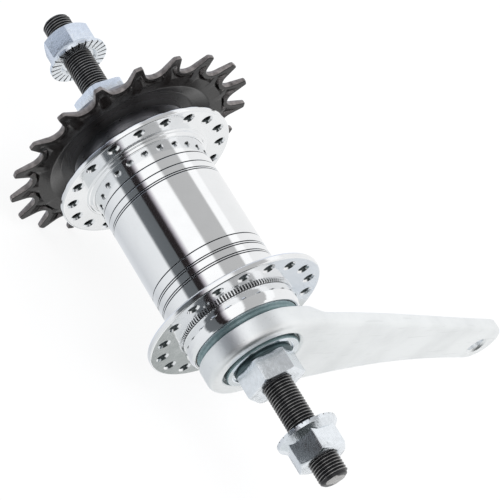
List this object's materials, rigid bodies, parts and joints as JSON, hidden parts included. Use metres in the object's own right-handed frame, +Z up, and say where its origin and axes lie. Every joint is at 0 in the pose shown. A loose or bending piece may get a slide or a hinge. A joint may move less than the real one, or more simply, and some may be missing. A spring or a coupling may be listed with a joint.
{
  "type": "coaster brake hub",
  "caption": "Rear bicycle hub with a coaster brake: drilled spoke flanges, dished sprocket on a screw driver, brake shoes inside the barrel, a brake arm and a threaded axle.",
  "frame": {"origin": "on the axle's axis, midway between the outer faces of the two locknuts", "axes": "+Y along the axle towards the sprocket end; +X along the brake arm; +Z up, square to the arm. On a bicycle the arm side is the left and the arm points forward, which is this frame turned half a turn about +X."},
  "size_m": [0.173, 0.18, 0.0834],
  "materials": {
    "black_oxide_steel": "black oxide",
    "zinc_steel": "bright zinc plate, faintly blue",
    "plain_steel": "plain steel",
    "hard_steel": "hardened and ground",
    "spring_steel": "spring steel",
    "cage_brass": "pressed sheet",
    "ball_steel": "polished",
    "black_sprocket": "satin black",
    "chrome_shell": "mirror chrome plate",
    "chrome_flange": "bright plate",
    "shoe_bronze": "turned bronze",
    "zinc_cap": "bright zinc plate",
    "satin_zinc": "satin zinc plate",
    "dark_washer": "dark steel"
  },
  "bodies": {
    "axle_group": {"axle": "black_oxide_steel", "drive_locknut": "zinc_steel", "drive_lock_washer": "plain_steel", "drive_cone": "hard_steel", "brake_cone": "hard_steel", "brake_dust_cap": "zinc_cap", "brake_arm": "satin_zinc", "arm_dished_washer": "zinc_cap", "brake_lock_washer": "dark_washer", "brake_locknut": "zinc_steel"},
    "shell": {"hub_barrel": "chrome_shell", "drive_flange": "chrome_flange", "brake_flange": "chrome_flange", "drive_dust_ring": "plain_steel"},
    "driver_group": {"driver": "hard_steel", "sprocket": "black_sprocket", "snap_ring": "plain_steel", "driver_dust_cap": "plain_steel"},
    "clutch": {"clutch_cone": "hard_steel"},
    "retarder": {"retarder_spring": "spring_steel"},
    "shoe_upper_front": {"brake_shoe_upper_front": "shoe_bronze"},
    "shoe_upper_rear": {"brake_shoe_upper_rear": "shoe_bronze"},
    "shoe_lower_rear": {"brake_shoe_lower_rear": "shoe_bronze"},
    "shoe_lower_front": {"brake_shoe_lower_front": "shoe_bronze"},
    "small_ball_ring": {"small_ball_cage": "cage_brass", "small_balls": "ball_steel"},
    "drive_ball_ring": {"drive_ball_cage": "cage_brass", "drive_balls": "ball_steel"},
    "brake_ball_ring": {"brake_ball_cage": "cage_brass", "brake_balls": "ball_steel"},
    "drive_nut": {"drive_axle_nut": "zinc_steel"},
    "brake_nut": {"brake_axle_nut": "zinc_steel"}
  },
  "joints": [
    {"name": "shell_spin", "type": "hinge", "parent": "axle_group", "child": "shell", "pos_m": [0, 0, 0], "axis": [0, 1, 0], "continuous": true},
    {"name": "driver_spin", "type": "hinge", "parent": "axle_group", "child": "driver_group", "pos_m": [0, 0, 0], "axis": [0, 1, 0], "continuous": true},
    {"name": "clutch_slide", "type": "slide", "parent": "driver_group", "child": "clutch", "axis": [0, -1, 0], "range_m": [0, 0.0024]},
    {"name": "retarder_slide", "type": "slide", "parent": "axle_group", "child": "retarder", "axis": [0, -1, 0], "range_m": [0, 0.0024]},
    {"name": "shoe_upper_front_slide", "type": "slide", "parent": "axle_group", "child": "shoe_upper_front", "axis": [0.7071, 0, 0.7071], "range_m": [0, 0.00027]},
    {"name": "shoe_upper_rear_slide", "type": "slide", "parent": "axle_group", "child": "shoe_upper_rear", "axis": [-0.7071, 0, 0.7071], "range_m": [0, 0.00027]},
    {"name": "shoe_lower_rear_slide", "type": "slide", "parent": "axle_group", "child": "shoe_lower_rear", "axis": [-0.7071, 0, -0.7071], "range_m": [0, 0.00027]},
    {"name": "shoe_lower_front_slide", "type": "slide", "parent": "axle_group", "child": "shoe_lower_front", "axis": [0.7071, 0, -0.7071], "range_m": [0, 0.00027]},
    {"name": "small_ball_ring_spin", "type": "hinge", "parent": "axle_group", "child": "small_ball_ring", "pos_m": [0, 0, 0], "axis": [0, 1, 0], "continuous": true},
    {"name": "drive_ball_ring_spin", "type": "hinge", "parent": "axle_group", "child": "drive_ball_ring", "pos_m": [0, 0, 0], "axis": [0, 1, 0], "continuous": true},
    {"name": "brake_ball_ring_spin", "type": "hinge", "parent": "axle_group", "child": "brake_ball_ring", "pos_m": [0, 0, 0], "axis": [0, 1, 0], "continuous": true},
    {"name": "drive_nut_slide", "type": "slide", "parent": "axle_group", "child": "drive_nut", "axis": [0, 1, 0], "range_m": [-0.0145, 0.004]},
    {"name": "brake_nut_slide", "type": "slide", "parent": "axle_group", "child": "brake_nut", "axis": [0, -1, 0], "range_m": [-0.0165, 0.004]}
  ],
  "couplings": [
    {"joint": "retarder_slide", "follows": "clutch_slide", "ratio": 1},
    {"joint": "shoe_upper_front_slide", "follows": "clutch_slide", "ratio": 0.1125},
    {"joint": "shoe_upper_rear_slide", "follows": "clutch_slide", "ratio": 0.1125},
    {"joint": "shoe_lower_rear_slide", "follows": "clutch_slide", "ratio": 0.1125},
    {"joint": "shoe_lower_front_slide", "follows": "clutch_slide", "ratio": 0.1125},
    {"joint": "small_ball_ring_spin", "follows": "driver_spin", "ratio": 0.5935},
    {"joint": "drive_ball_ring_spin", "follows": "shell_spin", "ratio": 0.5838},
    {"joint": "brake_ball_ring_spin", "follows": "shell_spin", "ratio": 0.5805}
  ]
}
